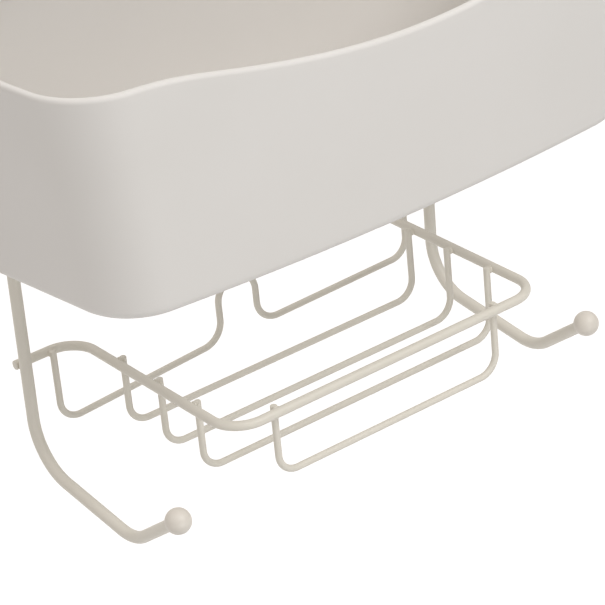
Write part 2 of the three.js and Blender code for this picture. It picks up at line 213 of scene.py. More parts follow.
class CaddyStage(bpy.types.PropertyGroup):
    """Camera, floor and lights"""

    azimuth: angle("Azimuth", "Camera's turn to the right of straight in front", -35.714)
    elevation: angle("Elevation", "Camera's height above the horizon", 29.135)
    roll: angle("Roll", "Camera's turn about its own axis", -4.891)
    distance: length("Distance", "From the camera to the point it looks at", 1.438)
    aim: FloatVectorProperty(
        name="Aim", description="Point that the camera looks at", default=(0.00969, -0.04195, -0.33769),
        subtype="TRANSLATION", unit="LENGTH")
    lens: FloatProperty(name="Lens", description="Focal length in millimetres", default=171.8)
    floor_drop: length("Floor drop", "Floor below the caddy's lowest point", 0.75)
    floor_glow: FloatProperty(
        name="Floor glow", description="Light of the floor's own, as on a light table", default=0.3)
    wall_glow: FloatProperty(
        name="Wall glow", description="Light of the backdrop wall's own", default=1.0)
    tent_right: panel_light("Tent right", (0.36, 0.35, 0.34))
    tent_left: panel_light("Tent left", (0.59, 0.56, 0.54))
    tent_back: panel_light("Tent back", (0.68, 0.66, 0.64))
    tent_front: panel_light("Tent front", (0.05, 0.05, 0.05))
    tent_top: panel_light("Tent top", (1.08, 1.04, 1.02))
    tent_bottom: panel_light("Tent bottom", (0.73, 0.72, 0.71))
    key_azimuth: angle("Key azimuth", "Key light's turn to the right of straight in front", 15)
    key_elevation: angle("Key elevation", "Key light's height above the horizon", 45)
    key_distance: length("Key distance", "From the key light to the caddy's middle", 2.0)
    key_size: length("Key size", "Side of the square softbox", 1.2)
    key_power: FloatProperty(
        name="Key power", description="Power of the key light", default=17.5, unit="POWER")
    fill_azimuth: angle("Fill azimuth", "Fill light's turn to the right of straight in front", -8)
    fill_elevation: angle("Fill elevation", "Fill light's height above the horizon", -12)
    fill_distance: length("Fill distance", "From the fill light to the caddy's middle", 1.1)
    fill_size: length("Fill size", "Side of the square softbox", 0.6)
    fill_power: FloatProperty(
        name="Fill power", description="Power of the fill light", default=2.9, unit="POWER")


def add_node(tree, kind, inputs=None, **settings):
    """Adds a node with its settings, and sets or links its inputs."""
    node = tree.nodes.new(kind)
    for key, value in settings.items():
        setattr(node, key, value)
    for key, value in (inputs or {}).items():
        if isinstance(value, bpy.types.NodeSocket):
            tree.links.new(value, node.inputs[key])
        else:
            node.inputs[key].default_value = value
    return node


def per_metre(millimetres):
    """Noise scale whose features are so many millimetres across."""
    return 1000 / millimetres


# Materials

def moulded_or_coated(name, base, shade, patch_mm, grain_mm, grain_height_mm, roughness, **shader):
    """A satin surface: slow patches between two near colours, uneven gloss, and a fine grain."""
    material = bpy.data.materials.new(name)
    material.use_nodes = True
    tree = material.node_tree
    tree.nodes.clear()
    place = add_node(tree, "ShaderNodeTexCoord").outputs["Object"]
    patch = add_node(
        tree, "ShaderNodeTexNoise", {"Vector": place, "Scale": per_metre(patch_mm), "Detail": 3.0})
    grain = add_node(
        tree, "ShaderNodeTexNoise", {"Vector": place, "Scale": per_metre(grain_mm), "Detail": 2.0})
    tint = add_node(
        tree, "ShaderNodeMix",
        {"Factor": patch.outputs["Fac"], "A": (*base, 1), "B": (*shade, 1)}, data_type="RGBA")
    gloss = add_node(
        tree, "ShaderNodeMapRange",
        {"Value": patch.outputs["Fac"], "To Min": roughness - 0.04, "To Max": roughness + 0.04})
    bump = add_node(
        tree, "ShaderNodeBump",
        {"Height": grain.outputs["Fac"], "Distance": grain_height_mm / 1000, "Strength": 1.0})
    surface = add_node(
        tree, "ShaderNodeBsdfPrincipled",
        {"Base Color": tint.outputs["Result"], "Roughness": gloss.outputs["Result"],
         "Normal": bump.outputs["Normal"], **shader})
    add_node(tree, "ShaderNodeOutputMaterial", {"Surface": surface.outputs["BSDF"]})
    return material


def powder_coated_steel():
    """Steel wire with a baked satin powder coat: warm grey, soft highlights, a faint orange peel."""
    finish = bpy.context.scene.caddy_finish
    # Orange peel is about 1 mm across and a few thousandths high
    return bpy.data.materials.get("powder_coated_steel") or moulded_or_coated(
        "powder_coated_steel", finish.coat, finish.coat_thin, patch_mm=18, grain_mm=1.1,
        grain_height_mm=0.012, roughness=0.42, IOR=1.5)


def moulded_polypropylene():
    """Polypropylene moulded in a spark-eroded tool: pale grey, matte, with slow flow patches."""
    finish = bpy.context.scene.caddy_finish
    # Spark-erosion grain is about 0.1 mm; it is drawn at 0.6 mm so that the render shows it
    return bpy.data.materials.get("moulded_polypropylene") or moulded_or_coated(
        "moulded_polypropylene", finish.bin, finish.bin_flow, patch_mm=70, grain_mm=0.6,
        grain_height_mm=0.004, roughness=0.52, IOR=1.49)


def moulded_nylon():
    """Nylon ball moulded and tumbled smooth: a soft round highlight and hardly any grain."""
    finish = bpy.context.scene.caddy_finish
    # Tumbling marks are about 0.2 mm; they are drawn at 0.8 mm so that the render shows them
    return bpy.data.materials.get("moulded_nylon") or moulded_or_coated(
        "moulded_nylon", finish.ball, finish.ball_shade, patch_mm=9, grain_mm=0.8,
        grain_height_mm=0.004, roughness=0.4, IOR=1.53)


def silicone_rubber():
    """Extruded silicone tube: matte, a little dusty, with a soft sheen at its edges."""
    finish = bpy.context.scene.caddy_finish
    # The skin's bloom is about 0.1 mm fine; it is drawn at 0.5 mm so that the render shows it
    return bpy.data.materials.get("silicone_rubber") or moulded_or_coated(
        "silicone_rubber", finish.sleeve, finish.sleeve_shade, patch_mm=6, grain_mm=0.5,
        grain_height_mm=0.01, roughness=0.72, IOR=1.41)


# Geometry Nodes trees

def new_tree(name, inputs):
    """Starts a tree that takes geometry and the named inputs, and gives geometry."""
    tree = bpy.data.node_groups.new(name, "GeometryNodeTree")
    tree.interface.new_socket("Geometry", in_out="INPUT", socket_type="NodeSocketGeometry")
    for label, kind in inputs.items():
        tree.interface.new_socket(label, in_out="INPUT", socket_type="NodeSocket" + kind)
    tree.interface.new_socket("Geometry", in_out="OUTPUT", socket_type="NodeSocketGeometry")
    return tree, tree.nodes.new("NodeGroupInput").outputs


def end_tree(tree, geometry, material):
    """Ends a tree in smooth shading, real geometry and its material."""
    smooth = add_node(tree, "GeometryNodeSetShadeSmooth", {"Geometry": geometry})
    real = add_node(tree, "GeometryNodeRealizeInstances", {"Geometry": smooth.outputs["Geometry"]})
    painted = add_node(
        tree, "GeometryNodeSetMaterial", {"Geometry": real.outputs["Geometry"], "Material": material})
    add_node(tree, "NodeGroupOutput", {"Geometry": painted.outputs["Geometry"]})


def bent_rod_tree():
    """A round rod along corner points, bent at each by its own radius, with domed ends."""
    name = "bent_rod"
    if name in bpy.data.node_groups:
        return bpy.data.node_groups[name]
    tree, given = new_tree(name, {
        "Diameter": "Float", "Sides": "Int", "Bend Steps": "Int", "Dome": "Float", "Material": "Material"})
    bend = add_node(tree, "GeometryNodeInputNamedAttribute", {"Name": "bend"}, data_type="FLOAT")
    corners = add_node(tree, "GeometryNodeMeshToCurve", {"Mesh": given["Geometry"]})
    path = add_node(
        tree, "GeometryNodeFilletCurve",
        {"Curve": corners.outputs["Curve"], "Radius": bend.outputs["Attribute"],
         "Count": given["Bend Steps"]}, mode="POLY")
    radius = add_node(tree, "ShaderNodeMath", {0: given["Diameter"], 1: 0.5}, operation="MULTIPLY")
    section = add_node(
        tree, "GeometryNodeCurvePrimitiveCircle",
        {"Resolution": given["Sides"], "Radius": radius.outputs["Value"]}, mode="RADIUS")
    rod = add_node(
        tree, "GeometryNodeCurveToMesh",
        {"Curve": path.outputs["Curve"], "Profile Curve": section.outputs["Curve"], "Fill Caps": True})

    # Each step raises the end faces and narrows them, which rounds the cut ends into domes
    neighbours = add_node(tree, "GeometryNodeInputMeshFaceNeighbors")
    is_end = add_node(
        tree, "FunctionNodeCompare", {2: neighbours.outputs["Vertex Count"], 3: 4},
        data_type="INT", operation="GREATER_THAN")
    mesh, ends = rod.outputs["Mesh"], is_end.outputs["Result"]
    steps = 5
    last_angle = radians(80)
    for k in range(1, steps + 1):
        before, after = last_angle * (k - 1) / steps, last_angle * k / steps
        rise = add_node(
            tree, "ShaderNodeMath", {0: given["Dome"], 1: sin(after) - sin(before)}, operation="MULTIPLY")
        raised = add_node(
            tree, "GeometryNodeExtrudeMesh",
            {"Mesh": mesh, "Selection": ends, "Offset Scale": rise.outputs["Value"]}, mode="FACES")
        ends = raised.outputs["Top"]
        narrowed = add_node(
            tree, "GeometryNodeScaleElements",
            {"Geometry": raised.outputs["Mesh"], "Selection": ends, "Scale": cos(after) / cos(before)},
            domain="FACE")
        mesh = narrowed.outputs["Geometry"]
    end_tree(tree, mesh, given["Material"])
    return tree


def weld_tree():
    """A rounded weld nugget on each point, sized and turned by the point's own attributes."""
    tree, given = new_tree("weld_nuggets", {"Segments": "Int", "Material": "Material"})
    size = add_node(
        tree, "GeometryNodeInputNamedAttribute", {"Name": "size"}, data_type="FLOAT_VECTOR")
    tilt = add_node(tree, "GeometryNodeInputNamedAttribute", {"Name": "tilt"}, data_type="FLOAT")
    turn = add_node(tree, "ShaderNodeCombineXYZ", {"X": tilt.outputs["Attribute"]})
    rotation = add_node(tree, "FunctionNodeEulerToRotation", {"Euler": turn.outputs["Vector"]})
    nugget = add_node(
        tree, "GeometryNodeMeshUVSphere",
        {"Segments": given["Segments"], "Rings": given["Segments"], "Radius": 1.0})
    nuggets = add_node(
        tree, "GeometryNodeInstanceOnPoints",
        {"Points": given["Geometry"], "Instance": nugget.outputs["Mesh"],
         "Rotation": rotation.outputs["Rotation"], "Scale": size.outputs["Attribute"]})
    end_tree(tree, nuggets.outputs["Instances"], given["Material"])
    return tree


def drain_tree():
    """Cuts a grid of flared drain holes through the bin's floor."""
    tree, given = new_tree("drain_holes", {
        "Columns": "Int", "Rows": "Int", "Pitch": "Vector", "Centre": "Vector", "Diameter": "Float",
        "Flare": "Float", "Floor": "Float", "Sides": "Int", "Material": "Material"})
    pitch = add_node(tree, "ShaderNodeSeparateXYZ", {"Vector": given["Pitch"]})
    spans = []
    for number, step in ((given["Columns"], pitch.outputs["X"]), (given["Rows"], pitch.outputs["Y"])):
        gaps = add_node(tree, "ShaderNodeMath", {0: number, 1: 1.0}, operation="SUBTRACT")
        span = add_node(
            tree, "ShaderNodeMath", {0: gaps.outputs["Value"], 1: step}, operation="MULTIPLY")
        spans.append(span.outputs["Value"])
    grid = add_node(
        tree, "GeometryNodeMeshGrid",
        {"Size X": spans[0], "Size Y": spans[1],
         "Vertices X": given["Columns"], "Vertices Y": given["Rows"]})
    centred = add_node(
        tree, "GeometryNodeTransform", {"Geometry": grid.outputs["Mesh"], "Translation": given["Centre"]})

    radius = add_node(tree, "ShaderNodeMath", {0: given["Diameter"], 1: 0.5}, operation="MULTIPLY")
    long = add_node(tree, "ShaderNodeMath", {0: given["Floor"], 1: 3.0}, operation="MULTIPLY")
    bore = add_node(
        tree, "GeometryNodeMeshCylinder",
        {"Vertices": given["Sides"], "Radius": radius.outputs["Value"], "Depth": long.outputs["Value"]})
    # A cone with twice the flare's height, whose middle lies in the floor's face, cuts the slope
    wide = add_node(
        tree, "ShaderNodeMath",
        {0: given["Flare"], 1: 2.0, 2: radius.outputs["Value"]}, operation="MULTIPLY_ADD")
    tall = add_node(tree, "ShaderNodeMath", {0: given["Flare"], 1: 2.0}, operation="MULTIPLY")
    lift = add_node(
        tree, "ShaderNodeMath", {0: given["Floor"], 1: 0.5, 2: given["Flare"]}, operation="MULTIPLY_ADD")
    low = add_node(
        tree, "ShaderNodeMath", {0: lift.outputs["Value"], 1: tall.outputs["Value"]}, operation="SUBTRACT")
    place = add_node(tree, "ShaderNodeCombineXYZ", {"Z": low.outputs["Value"]})
    cone = add_node(
        tree, "GeometryNodeMeshCone",
        {"Vertices": given["Sides"], "Radius Top": wide.outputs["Value"],
         "Radius Bottom": radius.outputs["Value"], "Depth": tall.outputs["Value"]})
    slope = add_node(
        tree, "GeometryNodeTransform",
        {"Geometry": cone.outputs["Mesh"], "Translation": place.outputs["Vector"]})
    cut = given["Geometry"]
    for cutter in (bore.outputs["Mesh"], slope.outputs["Geometry"]):
        cutters = add_node(
            tree, "GeometryNodeInstanceOnPoints",
            {"Points": centred.outputs["Geometry"], "Instance": cutter})
        real = add_node(
            tree, "GeometryNodeRealizeInstances", {"Geometry": cutters.outputs["Instances"]})
        hole = add_node(
            tree, "GeometryNodeMeshBoolean", {"Mesh 1": cut, "Mesh 2": real.outputs["Geometry"]},
            operation="DIFFERENCE", solver="EXACT")
        cut = hole.outputs["Mesh"]
    end_tree(tree, cut, given["Material"])
    return tree


# Mesh helpers

def add_object(name, mesh):
    """Links a mesh to the scene as an object at the origin."""
    piece = bpy.data.objects.new(name, mesh)
    bpy.context.collection.objects.link(piece)
    return piece


def plain_mesh(source):
    """The mesh of an object with its modifiers applied."""
    depsgraph = bpy.context.evaluated_depsgraph_get()
    return bpy.data.meshes.new_from_object(source.evaluated_get(depsgraph))


def through_tree(name, mesh, tree, inputs):
    """Runs a mesh through a tree and keeps the result as a plain mesh object."""
    source = add_object(name + "_source", mesh)
    modifier = source.modifiers.new(tree.name, "NODES")
    modifier.node_group = tree
    for socket in tree.interface.items_tree:
        if socket.in_out == "INPUT" and socket.name in inputs:
            modifier[socket.identifier] = inputs[socket.name]
    made = plain_mesh(source)
    if not made.polygons:
        raise RuntimeError(f"{tree.name} gave no faces for {name}")
    bpy.data.objects.remove(source)
    made.name = name
    return add_object(name, made)


def finish_piece(piece, body, slot, *nodes):
    """Ties a finished piece to its body and hides the nodes that it stands for. The slot is not used."""
    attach(piece, body)
    if nodes:
        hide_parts(*nodes)


def bent_rod(name, corners, diameter, dome, nodes):
    """A rod through corners [(point, bend radius), ...], rounded at both ends, for the frame."""
    points = [point for point, bend in corners]
    bends = [bend for point, bend in corners]
    points[0] = points[0] + (points[1] - points[0]).normalized() * dome
    points[-1] = points[-1] + (points[-2] - points[-1]).normalized() * dome
    # A point close to each bend keeps the smooth shading even along the straight runs
    close, close_share = diameter / 2, 0.2
    path, radii = [points[0]], [0.0]
    for i in range(1, len(points) - 1):
        arriving = (points[i] - points[i - 1]).normalized()
        leaving = (points[i + 1] - points[i]).normalized()
        tangent = bends[i] * tan(arriving.angle(leaving) / 2)
        for offset, radius in ((-1, 0.0), (0, bends[i]), (1, 0.0)):
            along = leaving if offset > 0 else arriving
            reach = tangent + min(close, close_share * tangent)
            path.append(points[i] + along * offset * reach)
            radii.append(radius)
    path.append(points[-1])
    radii.append(0.0)
    mesh = bpy.data.meshes.new(name)
    mesh.from_pydata(path, [(i, i + 1) for i in range(len(path) - 1)], [])
    mesh.attributes.new("bend", "FLOAT", "POINT").data.foreach_set("value", radii)
    piece = through_tree(name, mesh, bent_rod_tree(), {
        "Diameter": diameter, "Sides": ROD_SIDES, "Bend Steps": BEND_STEPS, "Dome": dome,
        "Material": powder_coated_steel()})
    finish_piece(piece, "frame", "coated_steel", *nodes)


def loft(name, rings, close_ends=True):
    """Joins closed rings of points into a skin, with a face on the first and the last."""
    around = len(rings[0])
    points = [point for ring in rings for point in ring]
    faces = []
    for r in range(len(rings) - 1 if close_ends else len(rings)):
        low, high = r * around, (r + 1) % len(rings) * around
        for i in range(around):
            after = (i + 1) % around
            faces.append((low + i, low + after, high + after, high + i))
    if close_ends:
        faces.append(tuple(reversed(range(around))))
        faces.append(tuple(range(len(points) - around, len(points))))
    mesh = bpy.data.meshes.new(name)
    mesh.from_pydata(points, [], faces)
    mesh.shade_smooth()
    return mesh


# Places measured on the frame

def upright_places():
    """The uprights' half spacing, their shoulders' height and the end of their shoulders."""
    lo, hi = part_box("left_upright")
    reach = bpy.context.scene.caddy_wire.rod / 2 * CAD_ROD_REACH
    return -(lo.x + reach), hi.z - reach, -hi.x


def loop_top():
    """Height of the loop's centre line at its top."""
    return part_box("hanger_loop")[1].z - bpy.context.scene.caddy_wire.rod / 2 * CAD_ROD_REACH


def ball_centre(side):
    """Centre of a hook's ball."""
    lo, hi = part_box("hook_ball_left" if side < 0 else "hook_ball_right")
    return (lo + hi) / 2


def basket_places():
    """The tilted basket's own frame, and its rim's depth in that frame."""
    lo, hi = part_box("basket_rim")
    reach = bpy.context.scene.caddy_wire.rim / 2 * CAD_ROD_REACH
    run = hi.y - lo.y - 2 * reach
    rise = hi.z - lo.z - 2 * reach
    place = Matrix.Translation((0, hi.y - reach, lo.z + reach))
    return place @ Matrix.Rotation(-atan2(rise, run), 4, "X"), hypot(run, rise)


def wire_tip(node):
    """Middle of the right-hand tip of a basket wire, in the basket's frame."""
    basket = basket_places()[0].inverted()
    points = [basket @ v.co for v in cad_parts[node].data.vertices]
    top = max(p.z for p in points)
    tip = [p for p in points if p.x > 0 and top - p.z < 1e-4]
    lo = Vector(min(p[i] for p in tip) for i in range(3))
    hi = Vector(max(p[i] for p in tip) for i in range(3))
    return (lo + hi) / 2


def bin_back():
    """Where the bin's back lies, just in front of the uprights."""
    scene = bpy.context.scene
    return -(scene.caddy_wire.rod / 2 + scene.caddy_bin.back_clearance)


def weld_offset():
    """Between the centre lines of the rim and a wire welded beside it."""
    wire = bpy.context.scene.caddy_wire
    return (wire.rim + wire.soap) / 2 + WELD_GAP


# Operators, one for each piece or group of like pieces

class CADDY_OT_uprights(bpy.types.Operator):
    """Bend the two uprights, from the shoulder down to the hook"""

    bl_idname = "caddy.uprights"
    bl_label = "Uprights"

    def execute(self, context):
        wire = context.scene.caddy_wire
        spread, shoulder, joint = upright_places()
        for name, side in (("left", -1), ("right", 1)):
            ball = ball_centre(side)
            low = ball.z - (-ball.y - wire.hook_run) * tan(wire.tip_rise)
            x = side * spread
            corners = [
                (Vector((side * joint, 0, shoulder)), 0),
                (Vector((x, 0, shoulder)), wire.shoulder_bend),
                (Vector((x, 0, low + wire.hook_run * tan(wire.hook_fall))), wire.hook_bend),
                (Vector((x, -wire.hook_run, low)), wire.tip_bend),
                (Vector((x, ball.y, ball.z)), 0),
            ]
            bent_rod(f"{name}_rod", corners, wire.rod, wire.butt_dome, [f"{name}_upright"])
        return {"FINISHED"}


class CADDY_OT_hook_balls(bpy.types.Operator):
    """Mould a ball with a collar on each hook's tip"""

    bl_idname = "caddy.hook_balls"
    bl_label = "Hook balls"

    def execute(self, context):
        wire, trim = context.scene.caddy_wire, context.scene.caddy_trim
        radius = trim.ball / 2
        bore = wire.rod / 2 + trim.ball_play
        collar = bore + trim.ball_collar
        bore_end = trim.ball_bore - radius
        collar_round = trim.ball_collar / 2
        collar_low = -sqrt(radius ** 2 - collar ** 2) - collar_round
        # Half section, from the bottom of the bore out round the collar and over the ball
        half = [(0.0, bore_end), (bore, bore_end), (bore, collar_low)]
        for k in range(1, 9):
            turn = pi * k / 8
            out = bore + collar_round * (1 - cos(turn))
            half.append((out, collar_low - collar_round * sin(turn)))
        # The ball's arc starts a little outside the collar
        past_collar = 1.12
        start = -pi / 2 + past_collar * (collar / radius)
        for k in range(33):
            turn = start + (pi / 2 - start) * k / 32
            half.append((radius * cos(turn), radius * sin(turn)))
        for name, side in (("left", -1), ("right", 1)):
            place = Matrix.Translation(ball_centre(side))
            place = place @ Matrix.Rotation(pi / 2 - wire.tip_rise, 4, "X")
            mesh = bpy.data.meshes.new(f"{name}_ball")
            bm = bmesh.new()
            points = [bm.verts.new((out, 0, up)) for out, up in half]
            edges = [bm.edges.new(pair) for pair in zip(points, points[1:])]
            bmesh.ops.spin(
                bm, geom=points + edges, axis=(0, 0, 1), cent=(0, 0, 0), angle=2 * pi, steps=BALL_SIDES,
                use_merge=True)
            bmesh.ops.remove_doubles(bm, verts=bm.verts, dist=1e-7)
            bmesh.ops.recalc_face_normals(bm, faces=bm.faces)
            bmesh.ops.transform(bm, matrix=place, verts=bm.verts)
            bm.to_mesh(mesh)
            bm.free()
            mesh.materials.append(moulded_nylon())
            mesh.shade_smooth()
            mesh.set_sharp_from_angle(angle=radians(50))
            finish_piece(add_object(f"{name}_ball", mesh), "frame", "ball_tip", f"hook_ball_{name}")
        return {"FINISHED"}


class CADDY_OT_hanger_loop(bpy.types.Operator):
    """Bend the loop that goes over the shower arm"""

    bl_idname = "caddy.hanger_loop"
    bl_label = "Hanger loop"

    def execute(self, context):
        wire = context.scene.caddy_wire
        shoulder = upright_places()[1]
        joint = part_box("hanger_loop")[1].x
        neck, top = wire.neck_width / 2, loop_top()
        corners = [(Vector((-joint, 0, shoulder)), 0), (Vector((-neck, 0, shoulder)), wire.neck_bend)]
        # The top is a half circle, drawn as two quarter bends
        corners += [(Vector((x, 0, top)), neck * HALF_CIRCLE_BEND) for x in (-neck, neck)]
        corners += [(Vector((neck, 0, shoulder)), wire.neck_bend), (Vector((joint, 0, shoulder)), 0)]
        bent_rod("loop_rod", corners, wire.rod, wire.butt_dome, ["hanger_loop"])
        return {"FINISHED"}


class CADDY_OT_hanger_sleeve(bpy.types.Operator):
    """Slip the soft sleeve over the top of the loop"""

    bl_idname = "caddy.hanger_sleeve"
    bl_label = "Hanger sleeve"

    def execute(self, context):
        wire, trim = context.scene.caddy_wire, context.scene.caddy_trim
        bend = wire.neck_width / 2
        centre = loop_top() - bend
        inner = wire.rod / 2 + trim.sleeve_clearance
        edge = trim.sleeve_wall / 2
        half_arc = trim.sleeve_arc / 2 - edge / bend
        # Section of the tube's wall: angle along the loop, distance from the rod's centre line
        wall = []
        along, round_steps = 40, 10
        for k in range(along + 1):
            wall.append((half_arc * (1 - 2 * k / along), inner + 2 * edge))
        for k in range(1, round_steps):
            turn = pi * k / round_steps
            wall.append((-half_arc - edge / bend * sin(turn), inner + edge * (1 + cos(turn))))
        for k in range(along + 1):
            wall.append((half_arc * (2 * k / along - 1), inner))
        for k in range(1, round_steps):
            turn = pi * k / round_steps
            wall.append((half_arc + edge / bend * sin(turn), inner + edge * (1 - cos(turn))))
        rings = []
        for j in range(SLEEVE_SIDES):
            turn = 2 * pi * j / SLEEVE_SIDES
            ring = []
            for place, out in wall:
                reach = bend + out * cos(turn)
                ring.append(Vector((reach * sin(place), out * sin(turn), centre + reach * cos(place))))
            rings.append(ring)
        mesh = loft("soft_sleeve", rings, close_ends=False)
        mesh.materials.append(silicone_rubber())
        finish_piece(add_object("soft_sleeve", mesh), "frame", "sleeve", "hanger_sleeve")
        return {"FINISHED"}


class CADDY_OT_bin_bar(bpy.types.Operator):
    """Lay the bar that carries the bin between the uprights"""

    bl_idname = "caddy.bin_bar"
    bl_label = "Bin bar"

    def execute(self, context):
        wire = context.scene.caddy_wire
        lo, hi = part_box("bin_bar")
        middle = (lo + hi) / 2
        ends = [(Vector((x, middle.y, middle.z)), 0) for x in (lo.x, hi.x)]
        bent_rod("bar_rod", ends, wire.bar, wire.butt_dome, ["bin_bar"])
        return {"FINISHED"}


class CADDY_OT_basket_rim(bpy.types.Operator):
    """Bend the basket's rim, its ends turned out behind the uprights"""

    bl_idname = "caddy.basket_rim"
    bl_label = "Basket rim"

    def execute(self, context):
        wire = context.scene.caddy_wire
        basket, depth = basket_places()
        side = wire_tip("soap_wire_1").x + weld_offset()
        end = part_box("basket_rim")[1].x
        bend = wire.rim_bend
        plan = [(-end, 0, 0), (-side, 0, bend), (-side, -depth, bend)]
        plan += [(-x, y, radius) for x, y, radius in reversed(plan)]
        corners = [(basket @ Vector((x, y, 0)), radius) for x, y, radius in plan]
        bent_rod("rim_wire", corners, wire.rim, wire.rim_dome, ["basket_rim"])
        return {"FINISHED"}


class CADDY_OT_soap_wires(bpy.types.Operator):
    """Bend the basket's four cross wires"""

    bl_idname = "caddy.soap_wires"
    bl_label = "Soap wires"

    def execute(self, context):
        wire = context.scene.caddy_wire
        basket = basket_places()[0]
        for node in ("soap_wire_1", "soap_wire_2", "soap_wire_3", "front_soap_wire"):
            tip = wire_tip(node)
            front = [(-tip.x, tip.z, 0), (-tip.x, -wire.soap_depth, wire.soap_bend)]
            front += [(-x, z, bend) for x, z, bend in reversed(front)]
            corners = [(basket @ Vector((x, tip.y, z)), bend) for x, z, bend in front]
            bent_rod(f"{node}_bent", corners, wire.soap, wire.tip_dome, [node])
        return {"FINISHED"}


class CADDY_OT_back_wire(bpy.types.Operator):
    """Bend the back wire, with its raised loop in the middle"""

    bl_idname = "caddy.back_wire"
    bl_label = "Back wire"

    def execute(self, context):
        wire = context.scene.caddy_wire
        basket = basket_places()[0]
        tip = wire_tip("back_soap_wire")
        hump = wire.hump_width / 2
        run = tip.x - hump
        left_low = -wire.back_depth - run * tan(wire.back_left_slant)
        right_low = -wire.back_depth + run * tan(wire.back_right_slant)
        front = [
            (-tip.x, tip.z, 0),
            (-tip.x, left_low, wire.soap_bend),
            (-hump, -wire.back_depth, wire.hump_bend),
            (-hump, -wire.hump_drop, hump * HALF_CIRCLE_BEND),
            (hump, -wire.hump_drop, hump * HALF_CIRCLE_BEND),
            (hump, -wire.back_depth, wire.hump_bend),
            (tip.x, right_low, wire.soap_bend),
            (tip.x, tip.z, 0),
        ]
        corners = [(basket @ Vector((x, tip.y, z)), bend) for x, z, bend in front]
        bent_rod("back_soap_wire_bent", corners, wire.soap, wire.tip_dome, ["back_soap_wire"])
        return {"FINISHED"}


class CADDY_OT_welds(bpy.types.Operator):
    """Put a weld nugget on every joint of the frame"""

    bl_idname = "caddy.welds"
    bl_label = "Welds"

    def execute(self, context):
        wire, trim = context.scene.caddy_wire, context.scene.caddy_trim
        basket = basket_places()[0]
        spread, shoulder, joint = upright_places()
        tilt = basket.to_euler().x
        reach, thick = trim.weld_reach, trim.weld_depth
        beside = (wire.soap + WELD_GAP) / 2
        welds = []
        for side in (-1, 1):
            for node in ("soap_wire_1", "soap_wire_2", "soap_wire_3"):
                tip = wire_tip(node)
                place = basket @ Vector((side * (tip.x + beside), tip.y, 0))
                welds.append((place, (thick, reach, reach), tilt))
            for node, across in (("front_soap_wire", -beside), ("back_soap_wire", beside)):
                tip = wire_tip(node)
                place = basket @ Vector((side * tip.x, tip.y + across, 0))
                welds.append((place, (reach, thick, reach), tilt))
            on_upright = (wire.rod + WELD_GAP) / 2
            rim_end = Vector((side * spread, on_upright, basket.translation.z))
            welds.append((rim_end, (reach, thick, LONG_WELD * reach), 0.0))
            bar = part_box("bin_bar")[1]
            bar_z = bar.z - wire.bar / 2 * CAD_ROD_REACH
            ring = wire.bar / 2 + 2 * trim.weld_ring
            welds.append((Vector((side * (bar.x + WELD_GAP / 2), 0, bar_z)), (thick, ring, ring), 0.0))
            ring = wire.rod / 2 + trim.weld_ring
            welds.append((Vector((side * joint, 0, shoulder)), (LONG_WELD * thick, ring, ring), 0.0))
        mesh = bpy.data.meshes.new("welds")
        mesh.from_pydata([place for place, size, turn in welds], [], [])
        sizes = [value for place, size, turn in welds for value in size]
        mesh.attributes.new("size", "FLOAT_VECTOR", "POINT").data.foreach_set("vector", sizes)
        mesh.attributes.new("tilt", "FLOAT", "POINT").data.foreach_set("value", [w[2] for w in welds])
        piece = through_tree(
            "welds", mesh, weld_tree(), {"Segments": WELD_SEGMENTS, "Material": powder_coated_steel()})
        finish_piece(piece, "frame", "coated_steel")
        return {"FINISHED"}


def bin_half_outline(sizes, half_width, depth, corner, inset):
    """Left half of the bin's plan, from the middle of the back to the middle of the front."""
    back = bin_back()
    taper = sizes.side_taper
    inward = Vector((cos(taper), sin(taper)))
    forward = Vector((sin(taper), -cos(taper)))
    side_turn = pi + taper
    side_start = Vector((-half_width, back)) + inward * inset
    points = []

    def add_line(start, end, steps):
        points.extend(start.lerp(end, k / steps) for k in range(steps))

    def add_arc(centre, radius, first, last, steps):
        for k in range(steps):
            turn = first + (last - first) * k / steps
            points.append(centre + radius * Vector((cos(turn), sin(turn))))

    back_radius = sizes.back_corner - inset
    back_centre = side_start + inward * back_radius
    back_centre += forward * ((back - sizes.back_corner - back_centre.y) / forward.y)

    corner_radius = corner - inset
    bow_radius = sizes.front_radius - inset
    bow_centre = Vector((0, back - depth + sizes.front_radius))
    offset = side_start + inward * corner_radius - bow_centre
    along = offset.dot(forward)
    reach = bow_radius - corner_radius
    to_corner = sqrt(along ** 2 - offset.length_squared + reach ** 2) - along
    corner_centre = bow_centre + offset + forward * to_corner
    bow_turn = atan2(corner_centre.y - bow_centre.y, corner_centre.x - bow_centre.x) + 2 * pi

    back_end = back_centre + Vector((0, back_radius))
    add_line(Vector((0, back_end.y)), back_end, 12)
    add_arc(back_centre, back_radius, pi / 2, side_turn, 10)
    on_side = back_radius * Vector((cos(side_turn), sin(side_turn)))
    to_front = corner_radius * Vector((cos(side_turn), sin(side_turn)))
    add_line(back_centre + on_side, corner_centre + to_front, 10)
    add_arc(corner_centre, corner_radius, side_turn, bow_turn, 24)
    add_arc(bow_centre, bow_radius, bow_turn, 1.5 * pi, 32)
    points.append(bow_centre + Vector((0, -bow_radius)))
    return points


def bin_outline(sizes, half_width, depth, corner, inset):
    """The bin's whole plan, anticlockwise seen from above."""
    left = bin_half_outline(sizes, half_width, depth, corner, inset)
    right = [Vector((-p.x, p.y)) for p in left[1:-1]]
    return left + right[::-1]


